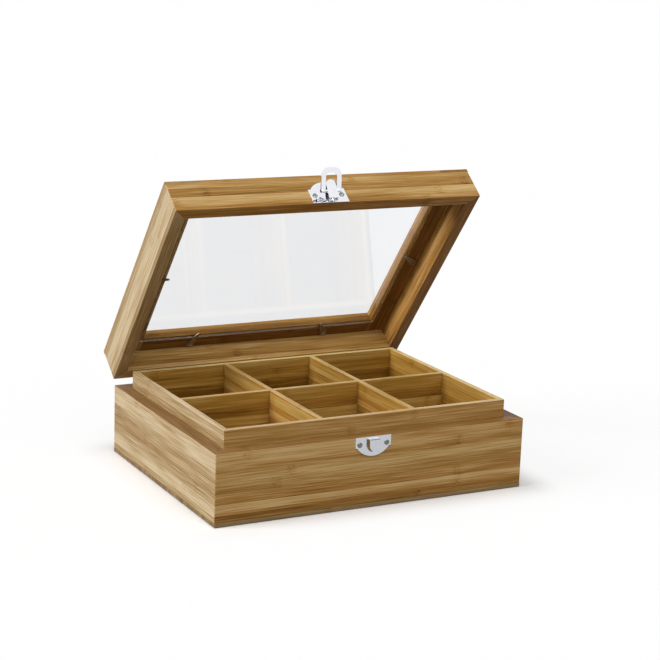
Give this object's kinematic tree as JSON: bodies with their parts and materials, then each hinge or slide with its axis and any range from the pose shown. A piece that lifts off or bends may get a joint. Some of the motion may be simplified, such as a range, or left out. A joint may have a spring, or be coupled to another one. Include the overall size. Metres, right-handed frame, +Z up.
{
  "type": "tea bag organizer box",
  "caption": "Bamboo tea bag box, lid hinged open: glass window held by turn buttons, raised lining with lapped dividers, and a chrome loop clasp on the front.",
  "frame": {"origin": "centre of the underside of the bottom panel, which the box stands on", "axes": "+X along the front towards the right-hand end, +Y to the back where the hinges are, +Z up; the clasp is on the front at -Y"},
  "size_m": [0.28, 0.2463, 0.2626],
  "materials": {
    "bamboo": "satin lacquer over strip-laminated bamboo",
    "bamboo_inner": "satin lacquer over strip-laminated bamboo",
    "pane": "clear, polished",
    "chrome": "bright plated sheet steel",
    "hinge_steel": "nickel plated",
    "bronze": "dull grey bronze"
  },
  "bodies": {
    "base": {"bottom_panel": "bamboo", "base_front": "bamboo", "base_right": "bamboo", "base_back": "bamboo", "base_left": "bamboo", "liner_front": "bamboo_inner", "liner_right": "bamboo_inner", "liner_back": "bamboo_inner", "liner_left": "bamboo_inner", "long_divider": "bamboo_inner", "cross_divider_left": "bamboo_inner", "cross_divider_right": "bamboo_inner", "catch_plate": "chrome", "catch_screws": "chrome", "hinge_base_leaf_left": "hinge_steel", "hinge_base_leaf_right": "hinge_steel", "hinge_pin_left": "hinge_steel", "hinge_pin_right": "hinge_steel", "hinge_base_screws": "hinge_steel"},
    "lid": {"lid_front": "bamboo", "lid_right": "bamboo", "lid_back": "bamboo", "lid_left": "bamboo", "top_rail_front": "bamboo", "top_rail_right": "bamboo", "top_rail_back": "bamboo", "top_rail_left": "bamboo", "window_pane": "pane", "button_screws": "bronze", "hinge_lid_leaf_left": "hinge_steel", "hinge_lid_leaf_right": "hinge_steel", "hinge_lid_screws": "hinge_steel", "clasp_plate": "chrome", "clasp_screws": "chrome", "clasp_pin": "chrome"},
    "lever": {"clasp_lever": "chrome"},
    "loop": {"clasp_loop": "chrome"},
    "button_back_left": {"turn_button_back_left": "bronze"},
    "button_back_right": {"turn_button_back_right": "bronze"},
    "button_right": {"turn_button_right": "bronze"},
    "button_left": {"turn_button_left": "bronze"},
    "button_front_left": {"turn_button_front_left": "bronze"},
    "button_front_right": {"turn_button_front_right": "bronze"}
  },
  "joints": [
    {"name": "lid_hinge", "type": "hinge", "parent": "base", "child": "lid", "pos_m": [0, 0.1127, 0.05975], "axis": [-1, 0, 0], "range_deg": [-52, 48]},
    {"name": "lever_pivot", "type": "hinge", "parent": "lid", "child": "lever", "pos_m": [-0.003, -0.02341, 0.23843], "axis": [1, 0, 0], "range_deg": [-26, 94]},
    {"name": "loop_pivot", "type": "hinge", "parent": "lever", "child": "loop", "pos_m": [-0.003, -0.021, 0.24337], "axis": [-1, 0, 0], "range_deg": [-163, 29]},
    {"name": "button_back_left_turn", "type": "hinge", "parent": "lid", "child": "button_back_left", "pos_m": [-0.066, 0.11616, 0.08821], "axis": [0, 0.788, 0.6157], "range_deg": [-109, 71]},
    {"name": "button_back_right_turn", "type": "hinge", "parent": "lid", "child": "button_back_right", "pos_m": [0.066, 0.11616, 0.08821], "axis": [0, 0.788, 0.6157], "range_deg": [-63, 117]},
    {"name": "button_right_turn", "type": "hinge", "parent": "lid", "child": "button_right", "pos_m": [0.1249, 0.05927, 0.16103], "axis": [0, 0.788, 0.6157], "range_deg": [-127, 53]},
    {"name": "button_left_turn", "type": "hinge", "parent": "lid", "child": "button_left", "pos_m": [-0.1249, 0.05927, 0.16103], "axis": [0, 0.788, 0.6157], "range_deg": [-94, 86]},
    {"name": "button_front_left_turn", "type": "hinge", "parent": "lid", "child": "button_front_left", "pos_m": [-0.066, 0.00238, 0.23384], "axis": [0, 0.788, 0.6157], "range_deg": [-78, 102]},
    {"name": "button_front_right_turn", "type": "hinge", "parent": "lid", "child": "button_front_right", "pos_m": [0.066, 0.00238, 0.23384], "axis": [0, 0.788, 0.6157], "range_deg": [-99, 81]}
  ]
}
